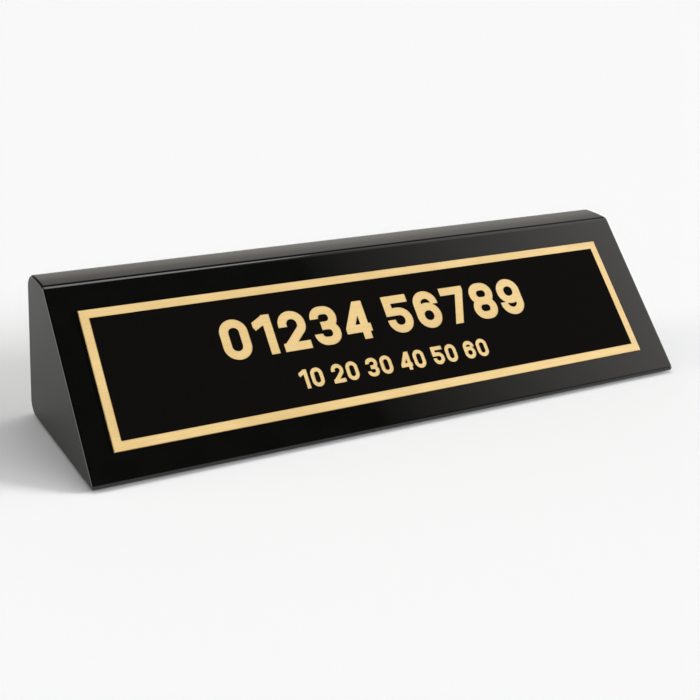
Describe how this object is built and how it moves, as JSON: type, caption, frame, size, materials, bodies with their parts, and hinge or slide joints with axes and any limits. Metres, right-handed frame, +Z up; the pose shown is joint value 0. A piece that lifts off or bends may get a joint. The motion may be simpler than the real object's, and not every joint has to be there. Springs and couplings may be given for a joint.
{
  "type": "desk name plate",
  "caption": "Wedge-shaped desk name plate: a glossy black lacquered block with a narrow, slightly crowned top ledge, and a thin black plate with a gold border on its sloping front face.",
  "frame": {"origin": "on the table, under the middle of the block's length and depth", "axes": "+X along the block to the right as the plate is read, +Y from the sloping face towards the upright back, +Z up"},
  "size_m": [0.216, 0.058, 0.0469],
  "materials": {
    "fibreboard": "sanded raw fibreboard",
    "wood_glue": "cured wood glue",
    "black_lacquer": "polished black piano lacquer",
    "adhesive_film": "milky adhesive film",
    "gold_brass": "fine satin brass",
    "black_coating": "matt black coating",
    "felt": "pressed black felt"
  },
  "bodies": {
    "root": {"core_board_lower": "fibreboard", "core_board_middle": "fibreboard", "core_board_upper": "fibreboard", "board_glue": "wood_glue", "lacquer_coat": "black_lacquer", "plate_adhesive": "adhesive_film", "brass_plate": "gold_brass", "plate_coating": "black_coating", "felt_pad": "felt", "felt_adhesive": "adhesive_film"}
  },
  "joints": []
}
